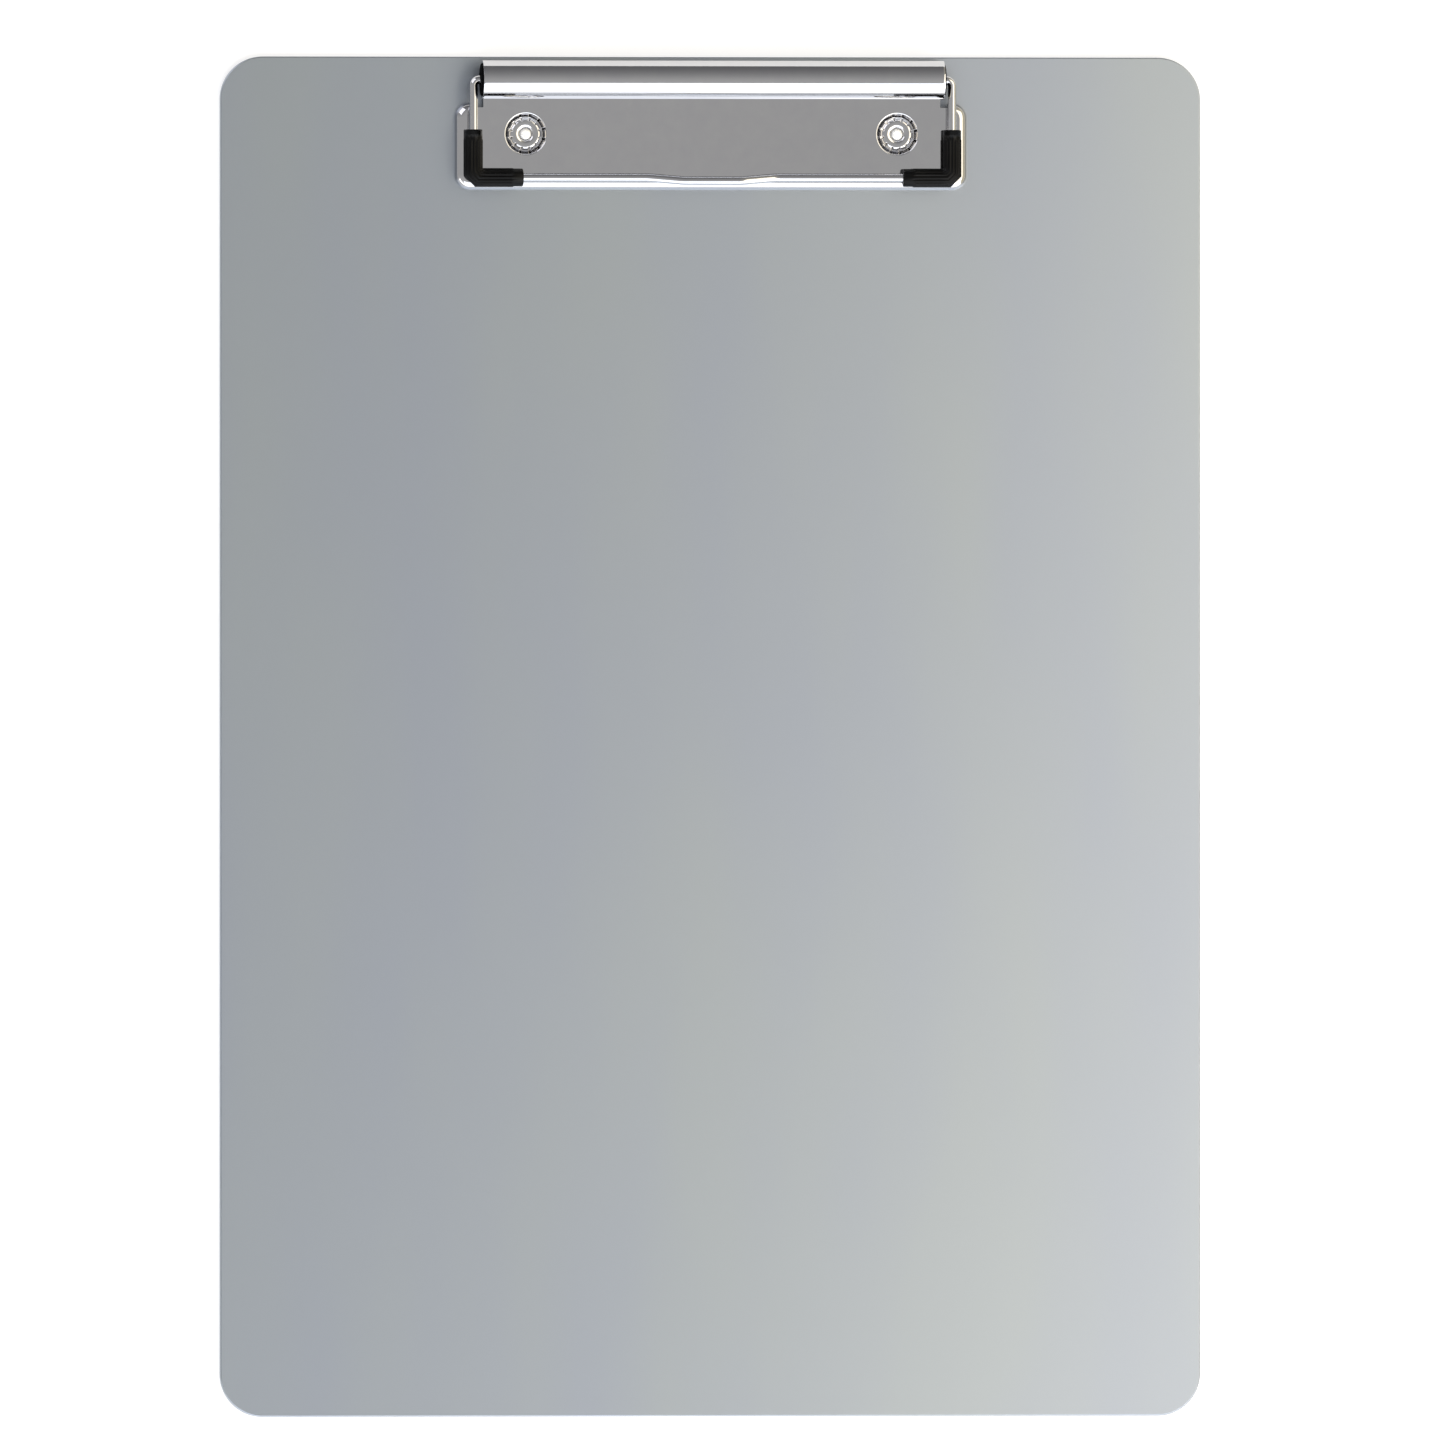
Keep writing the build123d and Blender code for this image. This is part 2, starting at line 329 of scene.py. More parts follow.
# %% Finish: moulded black rubber and nylon
def moulded_black(name, colour, worn_colour, rough_low, rough_high, grain_mm, sheen=0.12):
    """Black plastic or rubber: sheen is the shader's specular level."""
    material, tree, shader = new_material(name, IOR=1.52, Specular_IOR_Level=sheen)
    place = add_node(tree, "ShaderNodeTexCoord").outputs["Object"]
    grain = add_node(tree, "ShaderNodeTexNoise", {"Scale": 1 / (grain_mm * MM), "Detail": 3.0},
                     {"Vector": place})
    bloom = add_node(tree, "ShaderNodeTexNoise", {"Scale": 1 / (4 * MM), "Detail": 3.0},
                     {"Vector": place})
    tone = add_node(tree, "ShaderNodeValToRGB", links={"Fac": bloom.outputs["Fac"]})
    tone.color_ramp.elements[0].position = 0.4
    tone.color_ramp.elements[0].color = srgb(colour)
    tone.color_ramp.elements[1].position = 0.8
    tone.color_ramp.elements[1].color = srgb(worn_colour)
    rough = add_node(tree, "ShaderNodeMapRange", {"To Min": rough_low, "To Max": rough_high},
                     {"Value": bloom.outputs["Fac"]})
    bump = add_node(tree, "ShaderNodeBump", {"Strength": 0.3, "Distance": 0.02 * MM},
                    {"Height": grain.outputs["Fac"]})
    tree.links.new(tone.outputs["Color"], shader.inputs["Base Color"])
    tree.links.new(rough.outputs["Result"], shader.inputs["Roughness"])
    tree.links.new(bump.outputs["Normal"], shader.inputs["Normal"])
    return material


grip_rubber = moulded_black("moulded black rubber", "030303", "080808", 0.30, 0.42, 0.15)
bush_nylon = moulded_black("moulded black nylon", "030304", "070708", 0.72, 0.82, 0.15, 0.02)
print("finishes:", grip_rubber.name, "|", bush_nylon.name)

# %% [markdown]
# Two pieces start from flat sheet: the board and the clip's base.  Both begin as
# a cube scaled to size with its four upright edges bevelled to the corner radius.
# Their flat faces are taken off and filled again around holes, so the edges and
# the faces that lie at one height have to be found.

# %% Tools for flat sheet
SAME_HEIGHT = 0.001 * MM
NEAR = 0.01 * MM


def fill_flat(bm, outline, holes):
    """Fill a flat outline around its holes with one sheet of triangles."""
    edges = list(outline)
    for hole in holes:
        edges += hole
    bmesh.ops.triangle_fill(bm, use_beauty=True, edges=edges)


def rounded_block(bm, low, high, corner, corner_steps):
    """A box from low to high whose four upright edges are rounded."""
    size = high - low
    place = Matrix.Translation((low + high) / 2) @ Matrix.Diagonal((*size, 1.0))
    bmesh.ops.create_cube(bm, size=1.0, matrix=place)
    upright = [e for e in bm.edges if abs(e.verts[0].co.z - e.verts[1].co.z) > size.z / 2]
    bmesh.ops.bevel(bm, geom=upright, offset=corner, offset_type="OFFSET", affect="EDGES",
                    segments=corner_steps, profile=0.5, material=-1, clamp_overlap=False)


def outline_at(bm, z):
    """The edges that lie at one height."""
    return [e for e in bm.edges if all(abs(v.co.z - z) < SAME_HEIGHT for v in e.verts)]


def flat_faces_at(bm, z):
    """The faces that lie at one height."""
    return [f for f in bm.faces if all(abs(v.co.z - z) < SAME_HEIGHT for v in f.verts)]


print(f"edges within {SAME_HEIGHT / MM:.3f} mm of a height belong to it")

# %% [markdown]
# ## The board
# A guillotined sheet with punched round corners.  Its two outlines are bevelled
# by a hair, because a handled sheet has no sharp edge.  The back has two
# counterbored rivet holes: each is a circle on the back face that is fed inwards,
# shrunk to the shank's size at the counterbore's floor, and fed on to the front.
# One fill for each flat face then closes it around its holes.

# %% Piece: board
board_corner = 10 * MM
board_edge_break = 0.3 * MM
head_seat = 0.7 * MM
shank_hole = 2.15 * MM
head_hole = 4.0 * MM
rivet_left_low, rivet_left_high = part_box("rivet_left")
rivet_right_low, rivet_right_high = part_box("rivet_right")
rivet_centres = [(rivet_left_low + rivet_left_high) / 2, (rivet_right_low + rivet_right_high) / 2]


def drill_rivet_hole(bm, centre):
    """Bore one counterbored hole from the back and return its mouth and its far end."""
    seat = Vector((centre.x, centre.y, board_low.z))
    mouth = ring(bm, seat, UP, head_hole, 64)
    deep = feed(bm, mouth, UP * head_seat)
    shoulder = feed(bm, deep, Vector((0, 0, 0)))
    shrink_level_ring(bm, shoulder, seat, shank_hole / head_hole)
    far_end = feed(bm, shoulder, UP * (board_high.z - board_low.z - head_seat))
    return mouth, far_end


def make_board():
    """The whole sheet, with flat-shaded faces and smooth rounded edges."""
    bm = bmesh.new()
    rounded_block(bm, board_low, board_high, board_corner, 24)
    outlines = outline_at(bm, board_low.z) + outline_at(bm, board_high.z)
    bmesh.ops.bevel(bm, geom=outlines, offset=board_edge_break, offset_type="OFFSET", affect="EDGES",
                    segments=3, profile=0.5, material=-1, clamp_overlap=True)
    faces = flat_faces_at(bm, board_low.z) + flat_faces_at(bm, board_high.z)
    bmesh.ops.delete(bm, geom=faces, context="FACES_ONLY")
    back_outline = outline_at(bm, board_low.z)
    front_outline = outline_at(bm, board_high.z)
    holes = [drill_rivet_hole(bm, centre) for centre in rivet_centres]
    fill_flat(bm, back_outline, [mouth for mouth, far_end in holes])
    fill_flat(bm, front_outline, [far_end for mouth, far_end in holes])
    finish_piece("board_sheet", bm, "base", ["board"], [board_finish],
                 level_faces_smooth=False)


make_board()

# %% [markdown]
# ## The clip's base
# One strip of 0.6 mm steel, pressed and then rolled.  The press turns a rim down
# all round and dishes two seats for the rivets, and the roll curls the rear edge
# into a barrel that takes the wire's axle.  The mesh is made as that one skin, in
# the order of the real work.  The seats come first, because each is a tool of its
# own: a lip rolls over the mouth, a straight wall goes down, and a fillet runs
# into the flat floor, which stops at the rivet's hole.

# %% Tool: dished rivet seat
seat_radius = 4.675 * MM
seat_floor_radius = 4.2 * MM
seat_lip = 0.38 * MM
seat_fillet = 0.35 * MM


def sink_seat(bm, centre):
    """Sink one dished rivet seat from its mouth on the plate and return the mouth."""
    top = Vector((centre.x, centre.y, plate_top))
    floor_drop = plate_rise - sheet
    mouth_radius = seat_radius + seat_lip
    profile = [(mouth_radius - seat_lip * sin(a), -seat_lip * (1 - cos(a)))
               for a in (radians(16 * k) for k in range(1, 6))]
    foot = seat_floor_radius - seat_fillet
    profile += [(foot + seat_fillet * cos(a), -floor_drop + seat_fillet * (1 - sin(a)))
                for a in (radians(18 * k) for k in range(1, 6))]
    profile.append((shank_hole, -floor_drop))
    mouth = ring(bm, top, UP, mouth_radius, 96)
    edges, radius, drop = mouth, mouth_radius, 0.0
    for next_radius, next_drop in profile:
        edges = feed(bm, edges, Vector((0, 0, next_drop - drop)))
        shrink_level_ring(bm, edges, top, next_radius / radius)
        radius, drop = next_radius, next_drop
    return mouth


print(f"rivet seats {2 * seat_radius / MM:.2f} mm across, {(plate_rise - sheet) / MM:.1f} mm deep")

# %% [markdown]
# A rounded block gives the rim.  Its rim is cut away between the two wings, where
# the tongue runs on.  The tongue's outline is drawn with a notch beside each end,
# back to the line where the sheet turns upwards into the barrel.

# %% Tools: pressed rim and tongue
plate_half = base_high.x
plate_front = base_low.y
plate_rear = 147.75 * MM
plate_corner = 3.5 * MM
rim_radius = 2.0 * MM
wing_y = plate_rear - rim_radius
notch_outer = 56.0 * MM
notch_inner = 53.6 * MM
notch_floor = 146.7 * MM
turn_up_radius = 0.4 * MM
turn_up_z = plate_top + turn_up_radius
turn_up_y = hinge.y - sqrt((barrel_radius + turn_up_radius) ** 2 - (hinge.z - turn_up_z) ** 2)


def press_rim(bm):
    """Press the rim, open between the wings, and return the outline of the flat top."""
    low = Vector((-plate_half, plate_front, board_top))
    high = Vector((plate_half, plate_rear, plate_top))
    rounded_block(bm, low, high, plate_corner, 16)
    bmesh.ops.bevel(bm, geom=outline_at(bm, plate_top), offset=rim_radius, offset_type="OFFSET",
                    affect="EDGES", segments=12, profile=0.5, material=-1, clamp_overlap=False)
    faces = flat_faces_at(bm, plate_top) + flat_faces_at(bm, board_top)
    bmesh.ops.delete(bm, geom=faces, context="FACES_ONLY")
    for side in (-1, 1):
        geometry = list(bm.verts) + list(bm.edges) + list(bm.faces)
        bmesh.ops.bisect_plane(bm, geom=geometry, plane_co=(side * notch_outer, 0, 0),
                               plane_no=(1, 0, 0))
    rear_rim = [f for f in bm.faces if abs(f.calc_center_median().x) < notch_outer
                and f.calc_center_median().y > wing_y]
    bmesh.ops.delete(bm, geom=rear_rim, context="FACES")
    return outline_at(bm, plate_top)


def draw_tongue(bm, outline):
    """Draw the tongue from the right wing to the left one; its middle edge is the rear one."""
    corners = [v for e in outline for v in e.verts if abs(v.co.y - wing_y) < NEAR
               and abs(abs(v.co.x) - notch_outer) < NEAR]
    left = min(corners, key=lambda v: v.co.x)
    right = max(corners, key=lambda v: v.co.x)
    steps = [(notch_outer, notch_floor), (notch_inner, notch_floor), (notch_inner, turn_up_y)]
    right_verts = [bm.verts.new((x, y, plate_top)) for x, y in steps]
    left_verts = [bm.verts.new((-x, y, plate_top)) for x, y in steps]
    route = [right] + right_verts + left_verts[::-1] + [left]
    return [bm.edges.new(pair) for pair in zip(route, route[1:])]


print(f"tongue {2 * notch_inner / MM:.1f} mm wide, turning up at Y {turn_up_y / MM:.2f} mm")

# %% [markdown]
# The flat top is filled around the rivet seats.  The barrel is two spins, a small
# one for the turn upwards and a long one for the curl, and it is a little wider
# than the tongue.  The wall comes last, so inside and outside stay parallel.

# %% Piece: clip base
free_end = radians(245)
plate_edge_break = 0.07 * MM


def roll_barrel(bm, rear_edge):
    """Turn the tongue's rear edge upwards and curl it round the hinge's axis."""
    climb = asin((hinge.z - turn_up_z) / (barrel_radius + turn_up_radius))
    turn_up_centre = Vector((0, turn_up_y, turn_up_z))
    end = bend(bm, [rear_edge], turn_up_centre, Vector((1, 0, 0)), pi / 2 + climb, 12)
    start = end[0].verts[0].co.copy()
    for side in (-1, 1):
        inner = min(end[0].verts, key=lambda v: abs(v.co.x - side * notch_inner))
        outer = bm.verts.new((side * barrel_half, start.y, start.z))
        end.append(bm.edges.new((inner, outer)))
    curl = 2 * pi + (pi + climb) - free_end
    bend(bm, end, Vector((0, hinge.y, hinge.z)), Vector((-1, 0, 0)), curl, 110)


def make_clip_base():
    """The rim, the tongue, the seats, the flat top, the barrel and then the wall."""
    bm = bmesh.new()
    outline = press_rim(bm)
    tongue = draw_tongue(bm, outline)
    rear_edge = tongue[len(tongue) // 2]
    mouths = [sink_seat(bm, centre) for centre in rivet_centres]
    fill_flat(bm, outline + tongue, mouths)
    roll_barrel(bm, rear_edge)
    piece = finish_piece("pressed_clip_base", bm, "base", ["clip_base"],
                         [pressed_chrome])
    wall_and_broken_edge(piece, sheet, plate_edge_break)
    crisp_normals(piece)


make_clip_base()

# %% [markdown]
# ## The wire bail
# One length of 2 mm spring wire, bent in order as a wire bender would: a cranked
# tip inside the barrel, the axle, a tight bend out of the barrel's mouth, the
# leg, the corner, and the run across with a shallow thumb bump.  The bend list
# holds the corners of the route and the radius at each.  The tool feeds the ring
# straight up to each bend and then spins it round the bend's own centre.

# %% Piece: wire bail
tip_x = 26.0 * MM
tip_crank = 3.0 * MM
tip_bend = 1.5 * MM
mouth_bend = 1.4 * MM
corner_bend = 2.4 * MM
bump_half = 14.9 * MM
bump_flat = 6.75 * MM
bump_forward = 0.7 * MM
bump_up = 1.2 * MM
bump_bend = 9.0 * MM
tip_edge_break = 0.2 * MM
half_bends = [
    ((tip_x, hinge.y, hinge.z - tip_crank), 0.0),
    ((tip_x, hinge.y, hinge.z), tip_bend),
    ((leg_x, hinge.y, hinge.z), mouth_bend),
    ((leg_x, run_y, hinge.z), corner_bend),
    ((bump_half, run_y, hinge.z), bump_bend),
    ((bump_flat, run_y - bump_forward, hinge.z + bump_up), bump_bend),
]
bend_list = half_bends + [((-x, y, z), radius) for (x, y, z), radius in reversed(half_bends)]


def bend_wire(bends, radius, sides):
    """Feed and bend a round wire through a list of (corner, bend radius)."""
    bm = bmesh.new()
    corners = [Vector(corner) for corner, _ in bends]
    headings = [(b - a).normalized() for a, b in zip(corners, corners[1:])]
    edges = ring(bm, corners[0], headings[0], radius, sides)
    bmesh.ops.holes_fill(bm, edges=edges, sides=sides)
    here = corners[0]
    for index in range(1, len(corners) - 1):
        before, after = headings[index - 1], headings[index]
        angle = before.angle(after)
        reach = bends[index][1] * tan(angle / 2)
        bend_start = corners[index] - before * reach
        edges = feed(bm, edges, bend_start - here)
        axis = before.cross(after).normalized()
        centre = bend_start + axis.cross(before) * bends[index][1]
        steps = max(4, round(angle / radians(4)))
        edges = bend(bm, edges, centre, axis, angle, steps)
        here = corners[index] + after * reach
    edges = feed(bm, edges, corners[-1] - here)
    bmesh.ops.holes_fill(bm, edges=edges, sides=sides)
    tips = outline_at(bm, corners[0].z)
    bmesh.ops.bevel(bm, geom=tips, offset=tip_edge_break, offset_type="OFFSET", affect="EDGES",
                    segments=2, profile=0.5, material=-1, clamp_overlap=True)
    return bm


wire = finish_piece("spring_wire_bail", bend_wire(bend_list, wire_radius, 40), "bail",
                    ["wire_bail"], [wire_chrome])
crisp_normals(wire)

# %% [markdown]
# ## The rubber sleeves
# Each corner of the wire wears an L-shaped sleeve, ribbed along its length so
# that it bites on paper, with a plain collar at each mouth.  The sleeve is
# lofted: a ring of vertices is placed at each station along the L, given its
# radius and the depth of its ribs there, and bridged to the ring before it.  The
# elbow is two mitres with a short straight between them, as the mould has it.

# %% Stations along a sleeve
rib_count = 16
sides_per_rib = 6
rib_depth = 0.30 * MM
elbow_rib_depth = 0.4 * rib_depth
rib_run_in = 0.5 * MM
collar_length = 2.5 * MM
collar_radius = grip_radius - 0.10 * MM
collar_step = 0.3 * MM
mouth_lip = 0.3 * MM
elbow_cut = 1.25 * MM
leg_ribs_stop = 2.6 * MM
run_ribs_start = 2.9 * MM


def ribbed(radius, depth):
    """A section whose outside has rounded ribs with narrow grooves between them."""
    def shape(angle):
        groove = (0.5 - 0.5 * cos(rib_count * angle)) ** 2
        return radius - depth * groove
    return shape


def sleeve_stations(mouth, corner, run_end):
    """The (place, heading, radius, rib depth) of every ring along one sleeve."""
    down = (corner - mouth).normalized()
    along = (run_end - corner).normalized()
    diagonal = (down + along).normalized()
    leg = (corner - mouth).length
    full = grip_radius
    ends = [(0.0, collar_radius - mouth_lip, 0), (0.3 * mouth_lip, collar_radius - 0.3 * mouth_lip, 0),
            (mouth_lip, collar_radius, 0), (collar_length - collar_step, collar_radius, 0),
            (collar_length, full, 0.5), (collar_length + rib_run_in, full, 1)]
    stations = [(mouth + down * s, down, r, rib_depth * d) for s, r, d in ends]
    stations += [(mouth + down * (leg - leg_ribs_stop), down, full, rib_depth)]
    stations += [(corner - down * elbow_cut, (down + diagonal).normalized(), full, elbow_rib_depth)]
    stations += [(corner + along * elbow_cut, (along + diagonal).normalized(), full, elbow_rib_depth)]
    stations += [(corner + along * run_ribs_start, along, full, rib_depth)]
    stations += [(run_end - along * s, along, r, rib_depth * d) for s, r, d in reversed(ends)]
    return stations


print(f"{rib_count} ribs, {rib_depth / MM:.2f} mm deep, on a sleeve {2 * grip_radius / MM:.1f} mm across")

# %% [markdown]
# A ring in a mitre cuts both arms at a slant, so it has to be stretched in its
# own plane, or the sleeve would be pinched at the elbow.  The bore that grips the
# wire is a second tube, fed and bent round the same corner as the wire, and
# bridged to the outside at both mouths, so that the rubber is one closed skin.

# %% Piece: sleeves
bore_clearance = 0.01 * MM
SQUARE_ACROSS = 0.999


def stretch_mitre(verts, centre, normal, heading):
    """Stretch a ring in its mitre plane, so that the arms it joins keep their width."""
    sideways = UP.cross(normal).normalized()
    factor = 1 / abs(normal.dot(heading))
    for vert in verts:
        offset = (vert.co - centre).dot(sideways)
        vert.co += sideways * offset * (factor - 1)


def loft_outside(bm, stations, down, along):
    """Place and bridge the ribbed rings, and return the first and the last of them."""
    loops = []
    for place, heading, radius, depth in stations:
        edges = ring(bm, place, heading, radius, rib_count * sides_per_rib, ribbed(radius, depth))
        is_mitre = heading.dot(down) < SQUARE_ACROSS and heading.dot(along) < SQUARE_ACROSS
        if is_mitre:
            arm = down if heading.dot(down) > heading.dot(along) else along
            stretch_mitre(verts_of(edges), place, heading, arm)
        loops.append(edges)
    for before, after in zip(loops, loops[1:]):
        bmesh.ops.bridge_loops(bm, edges=before + after)
    return loops[0], loops[-1]


def make_sleeve(side, name, node):
    """One sleeve, from its mouth on the leg, round the corner, to its end on the run."""
    low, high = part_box(node)
    mouth = Vector((side * leg_x, high.y, hinge.z))
    corner = Vector((side * leg_x, run_y, hinge.z))
    inner_x = low.x if side > 0 else high.x
    run_end = Vector((inner_x, run_y, hinge.z))
    down = (corner - mouth).normalized()
    along = (run_end - corner).normalized()
    bm = bmesh.new()
    first, last = loft_outside(bm, sleeve_stations(mouth, corner, run_end), down, along)
    bore = wire_radius + bore_clearance
    bore_in = ring(bm, mouth, down, bore, rib_count * sides_per_rib)
    bore_out = ring(bm, run_end, along, bore, rib_count * sides_per_rib)
    bmesh.ops.bridge_loops(bm, edges=first + bore_in)
    bmesh.ops.bridge_loops(bm, edges=last + bore_out)
    elbow_in = feed(bm, bore_in, down * ((corner - mouth).length - corner_bend))
    centre = corner - down * corner_bend + along * corner_bend
    elbow_out = bend(bm, elbow_in, centre, down.cross(along), pi / 2, 12)
    bmesh.ops.bridge_loops(bm, edges=elbow_out + bore_out)
    finish_piece(name, bm, "bail", [node], [grip_rubber])


make_sleeve(-1, "ribbed_sleeve_left", "grip_left")
make_sleeve(1, "ribbed_sleeve_right", "grip_right")

# %% [markdown]
# ## The rivets
# A semi-tubular rivet is pushed through from the back, and a star-shaped punch
# splits and rolls its open end outwards.  That leaves a small floor in the bore
# with a groove round it, a funnel up to a flat shoulder, and a skirt of twelve
# petals with splits between them.  The floor's pale tone is painted light and the
# splits' dark tone is painted shade.  The whole rivet is one profile turned on the
# lathe; the petals are then made by drawing the skirt in and down at every split.

# %% Rivet profile
petals = 12
steps_per_petal = 16
petal_root = 3.1 * MM
petal_tip = 3.8 * MM
seat_floor = board_top + sheet
rolled_end = [
    (0.0, 0.36), (0.7, 0.36), (1.32, 0.34), (1.35, 0.10), (1.46, 0.12),
    (1.52, 0.50), (1.82, 0.62), (2.08, 0.72), (2.18, 0.74), (2.6, 0.74), (3.0, 0.74),
    (petal_root / MM, 0.72), (3.28, 0.64), (3.5, 0.52), (3.72, 0.38), (petal_tip / MM, 0.22),
    (3.74, 0.02), (3.5, 0.0), (2.1, 0.0),
]


def rivet_profile(floor):
    """(radius, height) from the bore's floor, over the rolled end, to the factory head."""
    head_top = head_seat
    head_bottom = rivet_left_low.z
    return [(r * MM, floor + h * MM) for r, h in rolled_end] + [
        (2.1 * MM, head_top), (3.6 * MM, head_top), (3.85 * MM, head_top - 0.1 * MM),
        (3.9 * MM, head_top - 0.3 * MM), (3.8 * MM, head_bottom + 0.12 * MM),
        (3.5 * MM, head_bottom), (0.0, head_bottom),
    ]


print(f"rivet profile of {len(rivet_profile(seat_floor))} points, {petals} petals")

# %% [markdown]
# A split is deepest on the line between two petals and is gone a few degrees to
# either side, which a cosine raised to a high power gives.  Where the skirt is
# split by more than a quarter, its faces get painted shade, a near-black tone for
# the shade down in the split, and the faces of the bore's floor get painted light,
# a pale tone for the bright table seen through the hollow rivet.

# %% Piece: rivets
split_sharpness = 10
split_draw_in = 0.62 * MM
split_sink = 0.8
bore_floor_edge = 1.33 * MM
painted_shade_from = 3.2 * MM
painted_shade_depth = 0.25


def split_depth(out, turn):
    """How deep the split between two petals is in this direction, from 0 to 1."""
    phase = petals * (out.angle_signed(Vector((1, 0))) + turn)
    return max(0.0, -cos(phase)) ** split_sharpness


def split_petals(bm, foot, turn):
    """Draw the rolled skirt in and down at every split."""
    for vert in bm.verts:
        out = Vector((vert.co.x - foot.x, vert.co.y - foot.y))
        if out.length <= petal_root or vert.co.z < seat_floor - NEAR:
            continue
        gap = split_depth(out, turn)
        reach = (out.length - petal_root) / (petal_tip - petal_root)
        drawn_in = out.length - gap * reach * split_draw_in
        out *= drawn_in / out.length
        vert.co.x, vert.co.y = foot.x + out.x, foot.y + out.y
        vert.co.z -= gap * (vert.co.z - seat_floor) * split_sink * min(1.0, 2 * reach)


def make_rivet(name, node, centre, turn):
    """One rivet, turned, split and given its chrome, its painted-light floor and its painted-shade
    splits.
    """
    bm = bmesh.new()
    foot = Vector((centre.x, centre.y, 0))
    lathe(bm, rivet_profile(seat_floor), foot, UP, Vector((1, 0, 0)), petals * steps_per_petal)
    split_petals(bm, foot, turn)
    for face in bm.faces:
        middle = face.calc_center_median() - foot
        exposed = middle.z > seat_floor
        # Faces on the bore's floor get painted light, a pale tone for the bright table seen through the
        # hollow rivet.
        if exposed and middle.xy.length < bore_floor_edge:
            face.material_index = 1
        # Faces deep in a split get painted shade, a near-black tone for the shade there.
        if exposed and middle.xy.length > painted_shade_from and split_depth(middle.xy, turn) > painted_shade_depth:
            face.material_index = 2
    piece = finish_piece(name, bm, "base", [node],
                         [rivet_chrome, painted_light_bore_floor, painted_shade_splits])
    crisp_normals(piece)


make_rivet("star_rivet_left", "rivet_left", rivet_centres[0], 0.0)
make_rivet("star_rivet_right", "rivet_right", rivet_centres[1], radians(4))

# %% [markdown]
# ## The bushes
# A short nylon plug in each mouth of the barrel centres the wire's axle.  It is
# one turned profile with a broken edge outside and a small countersink inside.

# %% Piece: bushes
bush_clearance = 0.05 * MM
bush_chamfer = 0.3 * MM


def make_bush(side, name, node):
    """One bush, turned from its inner face outwards."""
    low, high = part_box(node)
    outer = (high.z - low.z) / 2
    length = high.x - low.x
    bore = wire_radius + bush_clearance
    profile = [(bore, 0.0), (bore, length - bush_chamfer), (bore + bush_chamfer, length),
               (outer - bush_chamfer, length), (outer, length - bush_chamfer), (outer, 0.0), (bore, 0.0)]
    bm = bmesh.new()
    inner_face = Vector((low.x if side > 0 else high.x, hinge.y, hinge.z))
    lathe(bm, profile, inner_face, Vector((side, 0, 0)), UP, 64)
    piece = finish_piece(name, bm, "base", [node], [bush_nylon])
    crisp_normals(piece)


make_bush(-1, "nylon_bush_left", "bush_left")
make_bush(1, "nylon_bush_right", "bush_right")

# %% [markdown]
# ## Studio
# The board lies on a plain white table.  The table glows a little of itself, so
# that it stays white right up to the board's edge, where a lit surface alone
# would fall into shadow.

# %% Studio: table
table_half = 4.0
table_drop = 0.02 * MM


def make_table():
    """A broad white sheet a hair under the board's back."""
    material, tree, shader = new_material("matt white laminate", Roughness=0.75,
                                          Emission_Strength=0.62)
    shader.inputs["Emission Color"].default_value = srgb("ffffff")
    place = add_node(tree, "ShaderNodeTexCoord").outputs["Object"]
    mottle = add_node(tree, "ShaderNodeTexNoise", {"Scale": 1 / (40 * MM)}, {"Vector": place})
    tone = add_node(tree, "ShaderNodeValToRGB", links={"Fac": mottle.outputs["Fac"]})
    tone.color_ramp.elements[0].color = srgb("b4b4b4")
    tone.color_ramp.elements[1].color = srgb("bababa")
    tree.links.new(tone.outputs["Color"], shader.inputs["Base Color"])
    bm = bmesh.new()
    bmesh.ops.create_grid(bm, x_segments=1, y_segments=1, size=table_half)
    mesh = bpy.data.meshes.new("table")
    bm.to_mesh(mesh)
    bm.free()
    mesh.materials.append(material)
    table = bpy.data.objects.new("table", mesh)
    bpy.context.scene.collection.objects.link(table)
    table.location.z = board_low.z - table_drop
    print(f"table {2 * table_half:.0f} m across, {table_drop / MM:.2f} mm under the board")


make_table()

# %% [markdown]
# Polished chrome shows whatever stands around it, so the room matters as much as
# the lamps.  It is a world colour that depends on direction alone: bright in
# front, mid grey overhead, dark at the back, and warm to the right.  The numbers
# are amounts of light, so they are linear and not paint colours.

# %% Studio: room
front_light = (0.75, 0.75, 0.75, 1)
overhead_light = (0.515, 0.515, 0.515, 1)
back_light = (0.17, 0.17, 0.18, 1)
right_light = (0.74, 0.68, 0.51, 1)


def make_room():
    """A room that runs from front to back through overhead, with a warm right side."""
    world = bpy.data.worlds.new("studio room")
    bpy.context.scene.world = world
    world.use_nodes = True
    tree = world.node_tree
    direction = add_node(tree, "ShaderNodeTexCoord").outputs["Generated"]
    axes = add_node(tree, "ShaderNodeSeparateXYZ", links={"Vector": direction})
    depth = add_node(tree, "ShaderNodeMapRange", {"From Min": -1.0, "From Max": 1.0},
                     {"Value": axes.outputs["Y"]})
    fall = add_node(tree, "ShaderNodeValToRGB", links={"Fac": depth.outputs["Result"]})
    fall.color_ramp.elements[0].color = front_light
    fall.color_ramp.elements[1].color = back_light
    overhead = fall.color_ramp.elements.new(0.5)
    overhead.color = overhead_light
    aside = add_node(tree, "ShaderNodeMapRange", {"From Min": 0.1, "From Max": 0.8},
                     {"Value": axes.outputs["X"]})
    warm = add_node(tree, "ShaderNodeMix", {"B": right_light},
                    {"Factor": aside.outputs["Result"], "A": fall.outputs["Color"]},
                    data_type="RGBA")
    tree.links.new(warm.outputs["Result"], tree.nodes["Background"].inputs["Color"])


make_room()
print("room: bright in front, grey overhead, dark behind, warm to the right")

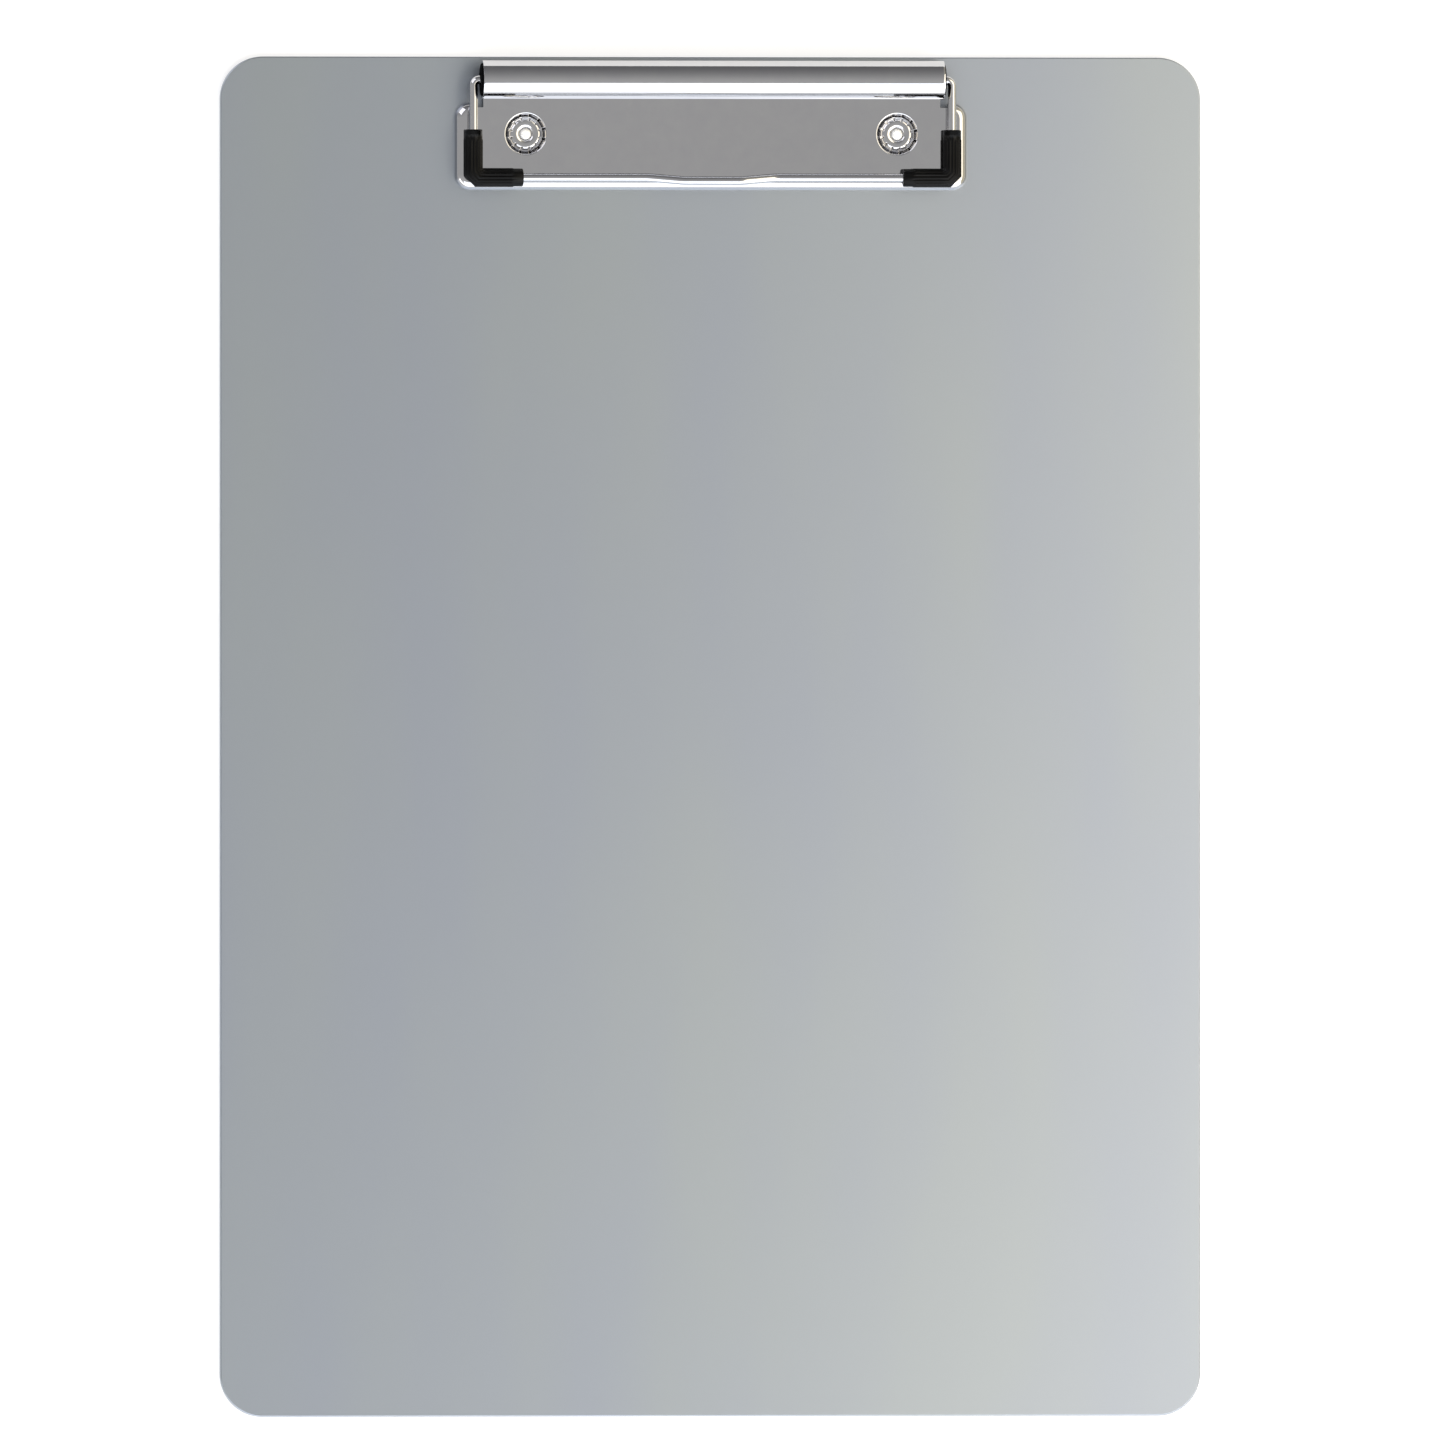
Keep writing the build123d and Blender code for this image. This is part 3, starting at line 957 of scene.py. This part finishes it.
# %% [markdown]
# Four area lamps stand round the clip.  A large soft box leans over the board's
# front edge and whitens the barrel's front and the rim, a smaller one stands close
# on the right, and two strips on the left edge the wire's legs and the clip's
# left side.  They are close enough that the satin board grows lighter towards its
# front right corner.  A lamp's energy is worked out from how bright its face
# should look.

# %% Studio: lamps
clip_centre = Vector((0, hinge.y, plate_top))
front_distance = 2.2
front_width = 2 * front_distance * tan(radians(35))
front_height = 2 * front_distance * tan(radians(31))


def soft_box(name, bearing, lean, distance, width, height, radiance, colour):
    """An area lamp round the clip: bearing is clockwise from the back, lean is off the vertical."""
    lamp = bpy.data.lights.new(name, "AREA")
    lamp.shape = "RECTANGLE"
    lamp.size = width
    lamp.size_y = height
    lamp.energy = radiance * pi * width * height
    lamp.color = srgb(colour)[:3]
    stand = bpy.data.objects.new(name, lamp)
    bpy.context.scene.collection.objects.link(stand)
    turn, tilt = radians(bearing), radians(lean)
    out = Vector((sin(turn) * sin(tilt), cos(turn) * sin(tilt), cos(tilt)))
    stand.location = clip_centre + out * distance
    stand.rotation_euler = (-out).to_track_quat("-Z", "Y").to_euler()
    stand.visible_camera = False
    print(f"{name} stands at {[round(v, 2) for v in stand.location]}")


soft_box("front soft box", bearing=163, lean=52, distance=front_distance,
         width=front_width, height=front_height, radiance=1.85, colour="f0f6ff")
soft_box("right soft box", bearing=102, lean=36.5, distance=0.7,
         width=1.15, height=0.47, radiance=1.85, colour="fff4e0")
soft_box("front left strip", bearing=222, lean=68, distance=1.6,
         width=1.4, height=0.6, radiance=1.9, colour="ffffff")
soft_box("rear left strip", bearing=312, lean=60, distance=1.6,
         width=0.9, height=1.4, radiance=1.8, colour="f6f6ff")

# %% [markdown]
# ## Camera
# A long lens high above the board, leaning a few degrees to the left so that it
# just sees into the barrel's left mouth.  A long lens keeps the board's sides
# parallel, as a product picture wants.

# %% Camera
camera_distance = 12.0
frame_width = 0.337
sensor_width = 36
camera_lean = radians(6.5)
aim_point = Vector((2.75 * MM, 3.3 * MM, board_top))
lens_data = bpy.data.cameras.new("camera")
lens_data.sensor_width = sensor_width
lens_data.lens = sensor_width * camera_distance / frame_width
lens_data.clip_end = 60
camera = bpy.data.objects.new("camera", lens_data)
bpy.context.scene.collection.objects.link(camera)
camera.location = aim_point + Vector((-sin(camera_lean), 0, cos(camera_lean))) * camera_distance
camera.rotation_euler = (0, -camera_lean, 0)
bpy.context.scene.camera = camera
bpy.context.scene.view_settings.view_transform = "Standard"
bpy.context.scene.view_settings.look = "None"
print("camera at", [round(v, 2) for v in camera.location], "lens", round(lens_data.lens))
